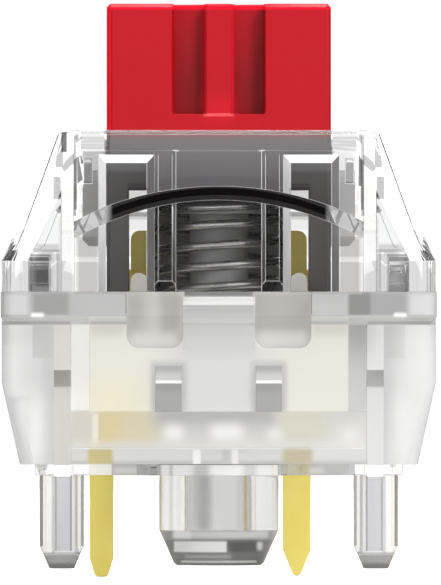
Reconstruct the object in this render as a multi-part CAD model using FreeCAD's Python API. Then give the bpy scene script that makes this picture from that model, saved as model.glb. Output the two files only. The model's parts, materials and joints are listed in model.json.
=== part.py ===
import FreeCAD, Part
import math
import os

# A clear-housed mechanical keyboard switch with a box-shaped stem.
# Millimetres. The origin is on the centre post's axis in the plane of the circuit board's top.
# +Z points up to the keycap and -Y is the side with the lamp cove.

# Positions that every board of this size is drilled to
peg_x = 5.08
fixed_pin_x = -3.81
fixed_pin_y = 2.54
moving_pin_x = 2.54
moving_pin_y = 5.08

# Running gaps and seats
slide_gap = 0.08
pin_gap = 0.07
seat_gap = 0.03
cam_gap = 0.05

# Lower housing: outline
body_half_x = 6.95
flange_proud_x = 0.03
flange_proud_y = 0.825
flange_height = 1.03
flange_bevel = 0.22
plate_seat_z = 4.89
corner_radius = 0.45
taper_start_z = 3.00
skirt_z = 0.39
skirt_taper = 0.57

# Lower housing: walls and floor
floor_thickness = 0.50
side_wall = 0.90
front_wall = 0.70
rear_wall = 0.40
rear_wall_gap = 0.37
floor_lip = 0.40

# Lower housing: spring clips that hold the plate
clip_inset = 2.80
clip_slot = 0.59
clip_thickness = 0.675
clip_room_rear = 0.30
clip_room_front = 0.95
clip_root = 0.50
clip_end_z = 2.08
nub_inner_x = 1.19
nub_outer_x = 2.02
nub_top_z = 3.57
nub_ridge_z = 3.03
nub_proud = 0.33
nub_foot = 0.06

# Lower housing: lamp notch in the flange's front
notch_half_x = 2.95
notch_floor_z = 4.10
notch_depth = 0.225
notch_radius = 0.40
block_half_x = 1.155
block_top_z = 5.76
block_bevel = 0.26
block_setback = 0.20

# Lower housing: feet, post, pegs and guide tube
rib_width = 0.53
rib_notch_low_z = 2.89
rib_notch_high_z = 3.40
rib_notch_depth = 0.45
tab_x = 2.57
tab_half_width = 0.27
tab_top_z = 6.53
pocket_wall = 0.70
pocket_roof_z = 3.60
boss_inset = 1.00
boss_half_y = 1.20
boss_radius = 2.90
post_radius = 1.93
post_tip_radius = 1.47
post_taper_z = -1.78
post_end_z = -2.92
post_round = 0.10
peg_radius = 0.72
peg_tip_radius = 0.40
peg_taper_z = -2.30
peg_end_z = -3.03
tube_wall = 0.53
tube_top_z = 4.60
bore_floor_z = -2.15
bore_chamfer = 0.15
channel_rib = 0.35
channel_room = 0.99
holder_front = 0.30
leaf_room = 0.06

# Upper housing
cap_step_y = 0.45
lower_edge_height = 1.00
chamfer_in = 0.21
chamfer_up = 0.42
cap_room_x = 0.90
slope_in_y = 1.84
shoulder_drop = 0.13
shoulder_in = 0.17
top_z = 11.11
upper_wall = 0.85
roof_thickness = 0.80
cove_inset = 2.31
cove_wall = 0.42
cove_lip_in = 0.75
arch_side_z = 8.15
arch_crown_z = 9.39
arch_drop = 0.51
stem_room = 0.45
inner_wall = 0.70
panel_proud = 0.12
panel_overlap = 0.50
rail_inner_x = 1.38
rail_width = 0.69
rail_gap = 0.11
rail_foot = 0.35
rail_edge = 0.12
recess_width = 1.80
recess_depth = 0.42
recess_reveal = 0.24
recess_top_gap = 0.12
slot_inset = 0.445
slot_half_width = 0.135
slot_low_z = 9.39
slot_high_z = 10.15
slot_depth = 0.30
relief_low_z = 6.20
relief_high_z = 6.90
relief_depth = 0.35
hook_reach = 0.25
hook_base_z = 8.89
hook_rise = 0.56
hook_slope = 0.35
hook_width = 0.60

# Latch legs of the upper housing and their windows in the lower housing
latch_y = 3.20
latch_width = 2.00
latch_thickness = 0.55
latch_catch = 0.55
latch_catch_z = 4.25
latch_end_z = 2.80
latch_lead = 0.20
window_margin = 0.15
window_play = 0.05

# Stem
stem_half_x = 3.61
stem_clear_y = 0.49
stem_top_z = 15.20
seat_z = 8.95
skirt_end_z = 5.00
skirt_wall_x = 0.70
skirt_wall_y = 0.70
view_slot = 0.71
stem_travel = 3.60
stem_edge = 0.12
groove_edge = 0.07
well_half_x = 2.86
well_half_y = 2.80
well_floor_z = 11.60
cross_reach_x = 2.03
cross_reach_y = 2.00
cross_arm_x = 1.17
cross_arm_y = 1.31
groove_inner_x = 0.45
groove_outer_x = 1.46
groove_depth = 0.60
groove_floor_z = 11.64
rib_setback = 0.10
rib_foot_z = 11.58
wing_reach = 0.79
wing_half_y = 1.50
wing_bottom_z = 7.40
wing_chamfer = 0.20
pin_radius = 0.95
pin_lead_in = 0.20
pin_lead_up = 0.30
seat_boss_gap = 0.10
seat_boss_height = 0.50
leg_width = 0.60
leg_end_z = 5.85
leg_inset = 0.35
leg_lead = 0.15
leg_shoulder = 0.30

# Return spring
wire_radius = 0.15
coil_radius = 1.90
coil_pitch = 0.65
coil_runs = 16
wire_flats = 8

# Contacts
sheet_thickness = 0.30
leaf_thickness = 0.12
bar_height = 0.15
bar_half_width = 0.12
bar_crown_half = 0.072
fixed_bar_half = 0.35
fixed_bar_crown = 0.30
moving_bar_half = 0.40
contact_gap = 0.27
contact_rest = 0.02
fixed_pin_width = 0.77
moving_pin_width = 0.90
fixed_pin_taper_z = -2.73
moving_pin_taper_z = -2.50
pin_end_z = -3.33
fixed_tip_width = 0.40
moving_tip_width = 0.22
pin_tip_round = 0.15
strip_height = 1.00
tongue_half_x = 1.10
tongue_top_z = 6.60
contact_z = 6.20
arm_inner_x = 2.28
arm_width = 0.59
ear_height = 0.70
arm_round = 0.30
leaf_foot_z = 1.25
leaf_foot_height = 0.90
leaf_top_z = 7.92
leaf_bar_height = 0.60
bump_z = 6.30
bump_radius = 0.40
bump_proud = 0.35

# Worked out from the sizes above
joint_z = plate_seat_z + flange_height
floor_z = skirt_z + floor_thickness
leaf_rear_y = moving_pin_y - sheet_thickness / 2
leaf_front_y = leaf_rear_y - leaf_thickness
moving_bar_y = leaf_front_y - bar_height
fixed_bar_y = moving_bar_y - contact_gap
fixed_rear_y = fixed_bar_y - bar_height
fixed_front_y = fixed_rear_y - sheet_thickness
stem_half_y = fixed_front_y - stem_clear_y
cavity_half_x = body_half_x - side_wall
rear_wall_inner_y = moving_pin_y + sheet_thickness / 2 + rear_wall_gap
rear_wall_outer_y = rear_wall_inner_y + rear_wall
clip_inner_y = rear_wall_outer_y + clip_room_rear
body_half_y = clip_inner_y + clip_thickness
front_wall_outer_y = -clip_inner_y + clip_room_front
front_wall_inner_y = front_wall_outer_y + front_wall
flange_half_x = body_half_x + flange_proud_x
flange_half_y = body_half_y + flange_proud_y
upper_half_y = flange_half_y - cap_step_y
top_half_x = stem_half_x + wing_reach + cap_room_x
top_half_y = upper_half_y - chamfer_in - slope_in_y
clip_half_x = body_half_x - clip_inset
slot_half_x = clip_half_x + clip_slot
boss_half_x = body_half_x - boss_inset
bore_radius = pin_radius + pin_gap
tube_radius = bore_radius + tube_wall
roof_z = top_z - roof_thickness
cove_half_x = body_half_x - cove_inset
slot_x = cove_half_x - slot_inset
latch_outer_x = cavity_half_x - window_play
latch_inner_x = latch_outer_x - latch_thickness
wall_back_y = -stem_half_y - stem_room
cove_back_y = wall_back_y - inner_wall
cove_lip_y = -upper_half_y + cove_lip_in
rail_proud = stem_room - rail_gap
rail_outer_x = rail_inner_x + rail_width
recess_outer_x = rail_outer_x + recess_width
pin_low_z = bore_floor_z + stem_travel + cam_gap
skirt_inner_x = stem_half_x - skirt_wall_x
skirt_inner_y = stem_half_y - skirt_wall_y
leg_inner_x = stem_half_x - leg_width
seat_boss_radius = coil_radius - wire_radius - seat_boss_gap
arm_outer_x = arm_inner_x + arm_width
leaf_swing = (contact_gap - contact_rest) / (contact_z - leaf_foot_z)
cam_slope = leaf_swing * (bump_z - leaf_foot_z) / stem_travel
cam_face_y = leaf_front_y - bump_proud - cam_gap

# How far cutters run past the faces that they open, and how far added forms reach into their solid
past = 1.0
bite = 0.10

# Tolerance for picking edges by where they lie
near = 0.01
mostly = 0.6


def vec(x, y, z):
    return FreeCAD.Vector(x, y, z)


def block(x0, x1, y0, y1, z0, z1):
    return Part.makeBox(x1 - x0, y1 - y0, z1 - z0, vec(x0, y0, z0))


def front_prism(points, y0, y1):
    """A closed outline of (x, z) points carried from y0 to y1."""
    wire = Part.makePolygon([vec(x, y0, z) for x, z in points + points[:1]])
    return Part.Face(wire).extrude(vec(0, y1 - y0, 0))


def side_prism(points, x0, x1):
    """A closed outline of (y, z) points carried from x0 to x1."""
    wire = Part.makePolygon([vec(x0, y, z) for y, z in points + points[:1]])
    return Part.Face(wire).extrude(vec(x1 - x0, 0, 0))


def upright_edges(shape):
    """The edges that run mostly upwards."""
    found = []
    for edge in shape.Edges:
        if len(edge.Vertexes) < 2:
            continue
        step = edge.Vertexes[1].Point - edge.Vertexes[0].Point
        if abs(step.z) > mostly * step.Length:
            found.append(edge)
    return found


def rounded_block(half_x, half_y, z0, z1, radius):
    solid = block(-half_x, half_x, -half_y, half_y, z0, z1)
    return solid.makeFillet(radius, upright_edges(solid))


def turned(points, x=0.0, y=0.0):
    """A profile of (radius, z) points turned about the upright line through x, y."""
    wire = Part.makePolygon([vec(r, 0, z) for r, z in points + points[:1]])
    solid = Part.Face(wire).revolve(vec(0, 0, 0), vec(0, 0, 1), 360)
    solid.translate(vec(x, y, 0))
    return solid


def other_side(shape):
    """The same shape on the other side of the plane x = 0."""
    return shape.mirror(vec(0, 0, 0), vec(1, 0, 0))


def both_sides(shape):
    return [shape, other_side(shape)]


def rear_copy(shape):
    return shape.mirror(vec(0, 0, 0), vec(0, 1, 0))


def fuse_all(shapes):
    return shapes[0].multiFuse(shapes[1:]).removeSplitter()


def closed_both(outline):
    return outline + [(-d, z) for d, z in reversed(outline)]


def rounded_wire(half_x, half_y, z, radius):
    """A rectangle with round corners, lying flat at a height."""
    x1 = half_x - radius
    y1 = half_y - radius
    quarter = 90.0
    edges = []
    for k, (cx, cy) in enumerate(((x1, y1), (-x1, y1), (-x1, -y1), (x1, -y1))):
        start = quarter * k
        edges.append(Part.makeCircle(radius, vec(cx, cy, z), vec(0, 0, 1), start, start + quarter))
    joined = []
    for k in range(4):
        following = edges[(k + 1) % 4]
        joined.append(edges[k])
        joined.append(Part.makeLine(edges[k].lastVertex().Point, following.firstVertex().Point))
    return Part.Wire(joined)


def lower_shell():
    """The body, tapered towards the board, with the flange round its top and its cavity."""
    wires = [rounded_wire(body_half_x - inset, body_half_y - inset, z, corner_radius)
             for inset, z in ((skirt_taper, skirt_z), (0, taper_start_z), (0, joint_z))]
    body = Part.makeLoft(wires, True, True)
    flange = rounded_block(flange_half_x, flange_half_y, plate_seat_z, joint_z, corner_radius)
    low_edges = [e for e in flange.Edges if e.BoundBox.ZMax < plate_seat_z + near]
    flange = flange.makeChamfer(flange_bevel, low_edges)
    cavity = block(-cavity_half_x, cavity_half_x, front_wall_inner_y, rear_wall_inner_y,
                   floor_z, joint_z + past)
    return body.fuse(flange).cut(cavity)


def clip_gap(outer_y, wall_y):
    """The space that one spring clip hangs in, open below and towards the outside."""
    low_y = min(outer_y, wall_y)
    high_y = max(outer_y, wall_y)
    return block(-slot_half_x, slot_half_x, low_y, high_y, -past, plate_seat_z)


def spring_clip():
    """The front clip: a tongue under the flange with two nubs that catch the plate."""
    tongue = block(-clip_half_x, clip_half_x, -body_half_y, -clip_inner_y,
                   clip_end_z, plate_seat_z + clip_root)
    face = -body_half_y
    nub = side_prism([(face + bite, nub_top_z + bite), (face, nub_top_z),
                      (face - nub_proud, nub_ridge_z), (face - nub_foot, clip_end_z),
                      (face + bite, clip_end_z)], nub_inner_x, nub_outer_x)
    return [tongue] + both_sides(nub)


def lamp_notch():
    """Cuts for the lamp: a notch through the flange's front with two round-cornered pockets."""
    floor_y = -body_half_y + notch_depth
    front_y = -flange_half_y - past
    pocket = block(block_half_x, notch_half_x, front_y, floor_y, notch_floor_z, joint_z + past)
    low = [e for e in pocket.Edges
           if e.BoundBox.ZMax < notch_floor_z + near and e.BoundBox.YLength > e.BoundBox.XLength]
    pocket = pocket.makeFillet(notch_radius, low)
    bevel = side_prism([(front_y, block_top_z - 2 * block_bevel), (front_y, joint_z + past),
                        (floor_y, joint_z + past), (floor_y, block_top_z),
                        (-flange_half_y + block_setback + block_bevel, block_top_z),
                        (-flange_half_y + block_setback, block_top_z - block_bevel),
                        (-flange_half_y + block_setback, plate_seat_z - past),
                        (front_y, plate_seat_z - past)], -block_half_x, block_half_x)
    well = block(-notch_half_x, notch_half_x, -clip_inner_y, front_wall_outer_y,
                 clip_end_z, joint_z + past)
    return both_sides(pocket) + [bevel, well]


def front_tabs():
    """Two round-topped tabs on the front wall that stand up into the cap's cove."""
    depth = front_wall
    upright = block(tab_x - tab_half_width, tab_x + tab_half_width, front_wall_outer_y,
                    front_wall_outer_y + depth, joint_z - past, tab_top_z - tab_half_width)
    end = Part.makeCylinder(tab_half_width, depth,
                            vec(tab_x, front_wall_outer_y, tab_top_z - tab_half_width), vec(0, 1, 0))
    return both_sides(upright.fuse(end))


def rib_notches():
    """A square notch in the face of the wall beside each front clip."""
    notch = block(slot_half_x - clip_slot / 2, slot_half_x + rib_width, -flange_half_y - past,
                  -body_half_y + rib_notch_depth, rib_notch_low_z, rib_notch_high_z)
    return both_sides(notch)


def corner_pockets():
    """Core-outs under the two front corners, which would else be thick and sink."""
    x0 = slot_half_x + rib_width + pocket_wall / 2
    y0 = -body_half_y + skirt_taper + pocket_wall / 2
    pocket = block(x0, body_half_x - skirt_taper - pocket_wall / 2,
                   y0, front_wall_outer_y + pocket_wall / 2, -past, pocket_roof_z)
    return both_sides(pocket)


def foot_ribs():
    """Upright ribs beside the clips that end in feet on the board."""
    width_end = slot_half_x + rib_width
    rib = block(slot_half_x, width_end, -body_half_y + skirt_taper, front_wall_outer_y, 0, taper_start_z)
    ribs = both_sides(rib)
    return ribs + [rear_copy(one) for one in ribs]


def centre_post():
    """Post, guide tube and bore as one turned profile."""
    round_z = post_end_z + post_round
    return turned([(0, bore_floor_z), (bore_radius, bore_floor_z),
                   (bore_radius, tube_top_z - bore_chamfer), (bore_radius + bore_chamfer, tube_top_z),
                   (tube_radius, tube_top_z), (tube_radius, floor_z), (post_radius, floor_z),
                   (post_radius, post_taper_z), (post_tip_radius, round_z),
                   (post_tip_radius - post_round, post_end_z), (0, post_end_z)])


def locating_peg():
    return turned([(0, skirt_z), (peg_radius, skirt_z), (peg_radius, peg_taper_z),
                   (peg_tip_radius, peg_end_z), (0, peg_end_z)], peg_x, 0)


def board_boss():
    """Raised land under the floor that seats on the board round the post."""
    bar = block(-boss_half_x, boss_half_x, -boss_half_y, boss_half_y, 0, skirt_z)
    bar = bar.makeFillet(corner_radius, upright_edges(bar))
    disc = Part.makeCylinder(boss_radius, skirt_z, vec(0, 0, 0))
    return [bar, disc]


def stem_channels():
    """Ribs on the side walls that guide the stem's wings."""
    low_y = wing_half_y + slide_gap
    rib = block(stem_half_x + channel_room, cavity_half_x, low_y, low_y + channel_rib,
                floor_z, joint_z - seat_gap)
    ribs = both_sides(rib)
    return ribs + [rear_copy(one) for one in ribs]


def contact_holder():
    """Low block on the floor with two channels for the contact strips."""
    top = floor_z + strip_height
    solid = block(-cavity_half_x, cavity_half_x, fixed_front_y - holder_front, rear_wall_inner_y,
                  floor_z, top)
    fixed = block(fixed_pin_x - fixed_pin_width / 2 - seat_gap, tongue_half_x + seat_gap,
                  fixed_front_y - seat_gap, fixed_rear_y + seat_gap, floor_z, top + past)
    tab = block(fixed_pin_x - fixed_pin_width / 2 - seat_gap, fixed_pin_x + fixed_pin_width / 2 + seat_gap,
                fixed_front_y - past, fixed_rear_y, floor_z, top + past)
    strip_end = max(arm_outer_x, moving_pin_x + moving_pin_width / 2) + seat_gap
    swing = leaf_swing * strip_height + seat_gap
    moving = block(-strip_end, strip_end, leaf_front_y - swing - leaf_room,
                   moving_pin_y + sheet_thickness / 2 + seat_gap, floor_z, top + past)
    return solid.cut(fixed).cut(tab).cut(moving)


def pin_slots():
    """Openings in the floor for the two contact pins."""
    slots = []
    for x, y, width in ((fixed_pin_x, fixed_pin_y, fixed_pin_width),
                        (moving_pin_x, moving_pin_y, moving_pin_width)):
        half_x = width / 2 + seat_gap
        half_y = sheet_thickness / 2 + seat_gap
        slots.append(block(x - half_x, x + half_x, y - half_y, y + half_y, -past, floor_z + past))
    return slots


def latch_windows():
    """Windows in the side walls that the latch legs snap into."""
    half = latch_width / 2 + window_margin
    low = latch_end_z - window_margin
    high = latch_catch_z + window_play
    first = block(cavity_half_x - bite, body_half_x + past, latch_y - half, latch_y + half, low, high)
    windows = both_sides(first)
    return windows + [rear_copy(one) for one in windows]


def make_lower_housing():
    shell = lower_shell()
    shell = shell.cut(clip_gap(-flange_half_y - past, front_wall_outer_y))
    shell = shell.cut(clip_gap(flange_half_y + past, rear_wall_outer_y))
    clips = spring_clip()
    lip = block(-slot_half_x, slot_half_x, front_wall_outer_y - floor_lip, front_wall_outer_y,
                skirt_z, floor_z)
    added = clips + [rear_copy(one) for one in clips]
    added += foot_ribs() + board_boss() + stem_channels()
    added += front_tabs() + [lip, contact_holder()]
    shell = fuse_all([shell] + added)
    for cutter in lamp_notch() + latch_windows() + pin_slots() + rib_notches() + corner_pockets():
        shell = shell.cut(cutter)
    middle = (post_radius + tube_radius) / 2
    shell = shell.cut(Part.makeCylinder(middle, floor_z + 2 * past, vec(0, 0, -past)))
    return fuse_all([shell, centre_post()] + both_sides(locating_peg()))


def upper_outline(bottom, top, wall):
    """Half outline of the cap as (distance, z), moved in by the wall."""
    edge_z = joint_z + lower_edge_height
    return [(bottom - wall, joint_z), (bottom - wall, edge_z),
            (bottom - chamfer_in - wall, edge_z + chamfer_up),
            (top - wall, top_z - shoulder_drop)]


def upper_outer():
    """The cap's outside, lofted through round-cornered sections at each break of its outline."""
    wide = upper_outline(body_half_x, top_half_x, 0) + [(top_half_x - shoulder_in, top_z)]
    deep = upper_outline(upper_half_y, top_half_y, 0) + [(top_half_y - shoulder_in, top_z)]
    wires = [rounded_wire(x, y, z, corner_radius) for (x, z), (y, _) in zip(wide, deep)]
    return Part.makeLoft(wires, True, True)


def slope_y(z):
    """Where the cap's front face lies at a height, on its long slope."""
    low_z = joint_z + lower_edge_height + chamfer_up
    low_y = upper_half_y - chamfer_in
    share = (z - low_z) / (top_z - shoulder_drop - low_z)
    return -(low_y + share * (top_half_y - low_y))


def front_panel():
    """The flat panel that stands a little proud of the cap's front slope."""
    low_z = arch_side_z - panel_overlap
    high_z = top_z - shoulder_drop
    return side_prism([(slope_y(low_z) - panel_proud, low_z), (slope_y(high_z) - panel_proud, high_z),
                       (cove_back_y, high_z), (cove_back_y, low_z)], -cove_half_x, cove_half_x)


def arch_wire(y, side_z, crown_z):
    """Outline of the lamp cove at one depth: straight sides under an arc."""
    low_z = joint_z - past
    a = vec(-cove_half_x, y, low_z)
    b = vec(-cove_half_x, y, side_z)
    c = vec(cove_half_x, y, side_z)
    d = vec(cove_half_x, y, low_z)
    arc = Part.Arc(b, vec(0, y, crown_z), c).toShape()
    return Part.Wire([Part.makeLine(a, b), arc, Part.makeLine(c, d), Part.makeLine(d, a)])


def lamp_cove():
    """The arched cove, its ceiling falling towards the wall at its back."""
    front = arch_wire(cove_lip_y, arch_side_z, arch_crown_z)
    back = arch_wire(cove_back_y, arch_side_z - arch_drop, arch_crown_z - arch_drop)
    mouth = Part.Face(front).extrude(vec(0, -upper_half_y - cove_lip_y - past, 0))
    return [mouth, Part.makeLoft([front, back], True, True)]


def cap_hollow():
    """The room for the stem and contacts, and the two hollow corners beside the cove."""
    wide = closed_both(upper_outline(body_half_x, top_half_x, upper_wall))
    wide = [(x, min(z, roof_z)) for x, z in wide]
    rear = upper_outline(upper_half_y, top_half_y, upper_wall)
    rear = [(y, min(z, roof_z)) for y, z in rear]
    room = front_prism(wide, wall_back_y, upper_half_y)
    room = room.common(side_prism([(wall_back_y, joint_z)] + rear + [(wall_back_y, roof_z)],
                                  -body_half_x, body_half_x))
    front = [(-y, z) for y, z in rear]
    corner = front_prism(wide, -upper_half_y, wall_back_y)
    corner = corner.common(side_prism([(wall_back_y, joint_z)] + front + [(wall_back_y, roof_z)],
                                      cove_half_x + cove_wall, body_half_x))
    return [room] + both_sides(corner)


def wall_recess():
    """A recess in the back of the cove's wall, its left, right and top edges sloping in."""
    wires = []
    for y, inset in ((wall_back_y, 0.0), (wall_back_y - recess_depth, recess_reveal)):
        x0 = rail_outer_x + inset
        x1 = recess_outer_x - inset
        z1 = roof_z - recess_top_gap - inset
        z0 = joint_z - past
        corners = [(x0, z0), (x0, z1), (x1, z1), (x1, z0), (x0, z0)]
        wires.append(Part.makePolygon([vec(x, y, z) for x, z in corners]))
    return Part.makeLoft(wires, True, True)


def wall_rail():
    """A rail on the back of the cove's wall, chamfered at its foot."""
    face = wall_back_y
    rail = side_prism([(face - bite, joint_z), (face, joint_z), (face + rail_proud, joint_z + rail_foot),
                       (face + rail_proud, roof_z + bite), (face - bite, roof_z + bite)],
                      rail_inner_x, rail_outer_x)
    long_edges = [e for e in upright_edges(rail)
                  if e.BoundBox.YMin > face + rail_proud - near and e.BoundBox.ZMin > joint_z + near]
    return rail.makeChamfer(rail_edge, long_edges)


def cap_hook():
    """A small sloped hook on the outer side of the cove's side wall."""
    x0 = cove_half_x + cove_wall
    return front_prism([(x0 - bite, hook_base_z), (x0 + hook_reach, hook_base_z),
                        (x0 + hook_reach, hook_base_z + hook_rise),
                        (x0, hook_base_z + hook_rise + hook_slope),
                        (x0 - bite, hook_base_z + hook_rise + hook_slope)],
                       cove_back_y - hook_width, cove_back_y)


def panel_slot():
    """A narrow round-topped slot in the front panel."""
    y0 = slope_y(slot_low_z) - panel_proud - past
    y1 = slope_y(slot_high_z) - panel_proud + slot_depth
    cut = block(slot_x - slot_half_width, slot_x + slot_half_width, y0, y1,
                slot_low_z, slot_high_z - slot_half_width)
    end = Part.makeCylinder(slot_half_width, y1 - y0,
                            vec(slot_x, y0, slot_high_z - slot_half_width), vec(0, 1, 0))
    return cut.fuse(end)


def corner_relief():
    """A shallow window in the front wall over each front latch leg."""
    return block(latch_inner_x, latch_outer_x, -upper_half_y - past, -upper_half_y + relief_depth,
                 relief_low_z, relief_high_z)


def latch_leg():
    """A leg that hangs into the lower housing and catches under its window's top edge."""
    outer = latch_outer_x
    y0 = latch_y - latch_width / 2
    leg = block(latch_inner_x, outer, y0, y0 + latch_width, latch_end_z, joint_z + past)
    catch = front_prism([(outer - bite, latch_catch_z), (outer + latch_catch, latch_catch_z),
                         (outer, latch_end_z + latch_lead), (outer - bite, latch_end_z + latch_lead)],
                        y0, y0 + latch_width)
    root = block(latch_inner_x, body_half_x - upper_wall / 2, y0, y0 + latch_width, joint_z, joint_z + past)
    return leg.fuse(catch).fuse(root)


def make_upper_housing():
    cap = upper_outer().fuse(front_panel())
    for cutter in cap_hollow():
        cap = cap.cut(cutter)
    rails = both_sides(wall_rail())
    hooks = both_sides(cap_hook())
    legs = both_sides(latch_leg())
    legs += [rear_copy(one) for one in legs]
    cap = fuse_all([cap] + rails + hooks + legs)
    cutters = lamp_cove() + both_sides(wall_recess()) + both_sides(panel_slot())
    cutters += both_sides(corner_relief())
    opening_x = stem_half_x + slide_gap
    opening_y = stem_half_y + slide_gap
    cutters.append(block(-opening_x, opening_x, -opening_y, opening_y, roof_z - past, top_z + past))
    for cutter in cutters:
        cap = cap.cut(cutter)
    return cap.removeSplitter()


def groove_cuts():
    """One groove in the front: its upright sides, and its broken edges at the stem's top."""
    face = -stem_half_y
    rib_face = face + rib_setback
    x0 = groove_inner_x
    x1 = groove_outer_x
    back = face + groove_depth
    wider = groove_edge + bite
    plan = [(x0 - wider, rib_face - bite), (x0, rib_face + groove_edge), (x0, back), (x1, back),
            (x1, face + groove_edge), (x1 + wider, face - bite), (x0 - wider, face - bite)]
    wire = Part.makePolygon([vec(x, y, groove_floor_z) for x, y in plan + plan[:1]])
    sides = Part.Face(wire).extrude(vec(0, 0, stem_top_z - groove_floor_z + bite))
    low = stem_top_z - groove_edge
    high = stem_top_z + bite
    across = front_prism([(x0 - wider, high), (x0, low), (x1, low), (x1 + wider, high)], face - bite, back)
    along = side_prism([(face, high), (face, low), (back, low), (back + wider, high)], x0, x1)
    return [sides, across, along]


def rib_cut():
    """The rib between two grooves stands back a little, with a slope at its foot."""
    face = -stem_half_y
    high = stem_top_z - groove_edge
    slope = rib_setback + bite
    return side_prism([(face - bite, rib_foot_z - bite), (face + rib_setback, rib_foot_z + rib_setback),
                       (face + rib_setback, high), (face + slope + groove_edge, stem_top_z + bite),
                       (face - bite, stem_top_z + bite)], -groove_inner_x, groove_inner_x)


def stem_tower():
    """The box tower with its edges broken, its well and the two grooves in each broad face."""
    tower = block(-stem_half_x, stem_half_x, -stem_half_y, stem_half_y, skirt_end_z, stem_top_z)
    outer = upright_edges(tower) + [e for e in tower.Edges if e.BoundBox.ZMin > stem_top_z - near]
    tower = tower.makeChamfer(stem_edge, outer)
    well = block(-well_half_x, well_half_x, -well_half_y, well_half_y, well_floor_z, stem_top_z + past)
    well = well.makeFillet(corner_radius, upright_edges(well))
    tower = tower.cut(well)
    fronts = [rib_cut()]
    for cutter in groove_cuts():
        fronts += both_sides(cutter)
    for cutter in fronts:
        tower = tower.cut(cutter).cut(rear_copy(cutter))
    return tower


def skirt_room():
    """The room for the spring: open in front and below, with a slot up each side of the back."""
    room = block(-skirt_inner_x, skirt_inner_x, -stem_half_y - past, skirt_inner_y,
                 skirt_end_z - past, seat_z)
    slot = block(skirt_inner_x - view_slot, skirt_inner_x, skirt_inner_y - past, stem_half_y + past,
                 skirt_end_z - past, seat_z)
    return [room] + both_sides(slot)


def keycap_cross():
    """The cross in the well that a keycap is pushed on."""
    bars = []
    for half_x, half_y in ((cross_reach_x, cross_arm_x / 2), (cross_arm_y / 2, cross_reach_y)):
        bar = block(-half_x, half_x, -half_y, half_y, well_floor_z - bite, stem_top_z)
        top = [e for e in bar.Edges if e.BoundBox.ZMin > stem_top_z - near]
        bars.append(bar.makeChamfer(stem_edge, top))
    return bars


def cam_leg():
    """A leg whose rear face is the cam: it falls away upwards, so the leaf follows it in."""
    leg_top = bump_z + stem_travel
    end = cam_face_y + cam_slope * (bump_z - leg_end_z)
    front = stem_half_y - leg_inset
    return side_prism([(front, seat_z), (front, leg_end_z), (end - leg_lead, leg_end_z),
                       (end, leg_end_z + leg_lead), (cam_face_y - cam_slope * stem_travel, leg_top),
                       (stem_half_y - bite, leg_top + leg_shoulder)],
                      leg_inner_x, leg_inner_x + leg_width)


def stem_wing():
    """A side wing: it guides the stem and stops it under the roof."""
    x1 = stem_half_x + wing_reach
    x0 = stem_half_x - skirt_wall_x / 2
    return front_prism([(x0, wing_bottom_z), (x1 - wing_chamfer, wing_bottom_z),
                        (x1, wing_bottom_z + wing_chamfer), (x1, roof_z - cam_gap),
                        (x0, roof_z - cam_gap)], -wing_half_y, wing_half_y)


def make_stem():
    tower = stem_tower()
    for cutter in skirt_room():
        tower = tower.cut(cutter)
    boss_z = seat_z - seat_boss_height
    pin = turned([(0, seat_z + bite), (seat_boss_radius, seat_z + bite), (seat_boss_radius, boss_z),
                  (pin_radius, boss_z), (pin_radius, pin_low_z + pin_lead_up),
                  (pin_radius - pin_lead_in, pin_low_z), (0, pin_low_z)])
    return fuse_all([tower, pin] + keycap_cross() + both_sides(cam_leg()) + both_sides(stem_wing()))


def make_return_spring():
    """Wire wound on a helix from the floor to the stem's seat, in short runs with flats to keep it light."""
    low = floor_z + wire_radius + seat_gap
    height = seat_z - wire_radius - seat_gap - low
    turns = round(height / coil_pitch)
    points = []
    for k in range(turns * coil_runs + 1):
        turn = math.radians(360 * k / coil_runs)
        rise = low + height * k / (turns * coil_runs)
        points.append(vec(coil_radius * math.cos(turn), coil_radius * math.sin(turn), rise))
    axis = (points[1] - points[0]).normalize()
    outward = vec(1, 0, 0)
    upward = axis.cross(outward)
    corner = wire_radius / math.cos(math.pi / wire_flats)
    ring = []
    for k in range(wire_flats + 1):
        turn = math.radians(360 * (k + 0.5) / wire_flats)
        ring.append(points[0] + outward * corner * math.cos(turn) + upward * corner * math.sin(turn))
    return Part.makePolygon(points).makePipeShell([Part.makePolygon(ring)], True, False, 1)


def pin_blade(x, y, width, tip_width, taper_z, top):
    """A flat contact pin that narrows to a rounded tip."""
    half = width / 2
    tip_half = tip_width / 2
    blade = front_prism([(x - half, top), (x - half, taper_z), (x - tip_half, pin_end_z),
                         (x + tip_half, pin_end_z), (x + half, taper_z), (x + half, top)],
                        y - sheet_thickness / 2, y + sheet_thickness / 2)
    tip = [e for e in blade.Edges
           if e.BoundBox.ZMax < pin_end_z + near and e.BoundBox.YLength > e.BoundBox.XLength]
    return blade.makeFillet(pin_tip_round, tip)


def make_fixed_terminal():
    """Left pin, a tab back to the strip, and the tongue that carries the fixed contact."""
    foot = floor_z + seat_gap
    x0 = fixed_pin_x - fixed_pin_width / 2
    x1 = fixed_pin_x + fixed_pin_width / 2
    pin = pin_blade(fixed_pin_x, fixed_pin_y, fixed_pin_width, fixed_tip_width, fixed_pin_taper_z,
                    foot + sheet_thickness)
    tab = block(x0, x1, fixed_pin_y - sheet_thickness / 2, fixed_rear_y, foot, foot + sheet_thickness)
    strip = block(x0, tongue_half_x, fixed_front_y, fixed_rear_y, foot, foot + strip_height)
    tongue = block(-tongue_half_x, tongue_half_x, fixed_front_y, fixed_rear_y, foot, tongue_top_z)
    top = [e for e in tongue.Edges
           if e.BoundBox.ZMin > tongue_top_z - near and e.BoundBox.YLength > e.BoundBox.XLength]
    tongue = tongue.makeFillet(leaf_bar_height / 2, top)
    return fuse_all([pin, tab, strip, tongue])


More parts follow.
